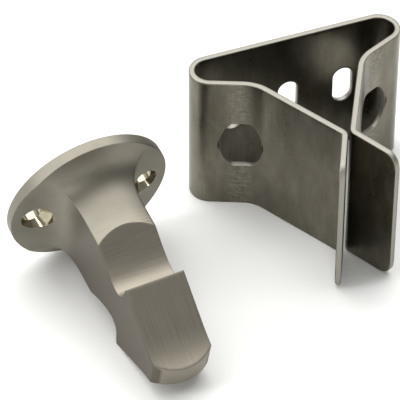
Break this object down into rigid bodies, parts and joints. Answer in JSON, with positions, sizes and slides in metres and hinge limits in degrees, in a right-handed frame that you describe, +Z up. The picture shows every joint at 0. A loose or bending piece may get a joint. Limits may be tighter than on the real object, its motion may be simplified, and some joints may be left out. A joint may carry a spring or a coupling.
{
  "type": "spring clip door holder",
  "caption": "Door holder in two loose pieces: a bent spring strip with two sprung jaws, and a round-flanged strike whose double-barbed stud the jaws grip.",
  "frame": {"origin": "bottom centre of the box around both pieces, on the surface that they stand on", "axes": "+Z up along the clip's strip width, -Y the way the clip's mouth and the strike's stud point, +X from the strike to the clip"},
  "size_m": [0.0918, 0.0608, 0.0346],
  "materials": {
    "spring_steel": "mill-rolled stainless spring strip, dull sheen",
    "strike_steel": "belt-brushed stainless casting"
  },
  "bodies": {
    "clip_base": {"clip_base": "spring_steel"},
    "left_jaw": {"left_jaw": "spring_steel"},
    "right_jaw": {"right_jaw": "spring_steel"},
    "strike": {"strike": "strike_steel"}
  },
  "joints": [
    {"name": "left_jaw_flex", "type": "hinge", "parent": "clip_base", "child": "left_jaw", "pos_m": [0.00321, 0.02573, 0.0165], "axis": [0, 0, -1], "range_deg": [0, 20], "stiffness_Nm_per_rad": 4},
    {"name": "right_jaw_flex", "type": "hinge", "parent": "clip_base", "child": "right_jaw", "pos_m": [0.04121, 0.02573, 0.0165], "axis": [0, 0, 1], "range_deg": [0, 20], "stiffness_Nm_per_rad": 4},
    {"name": "strike_lift", "type": "slide", "parent": "clip_base", "child": "strike", "axis": [0, 0, 1], "range_m": [0, 0.06]}
  ]
}
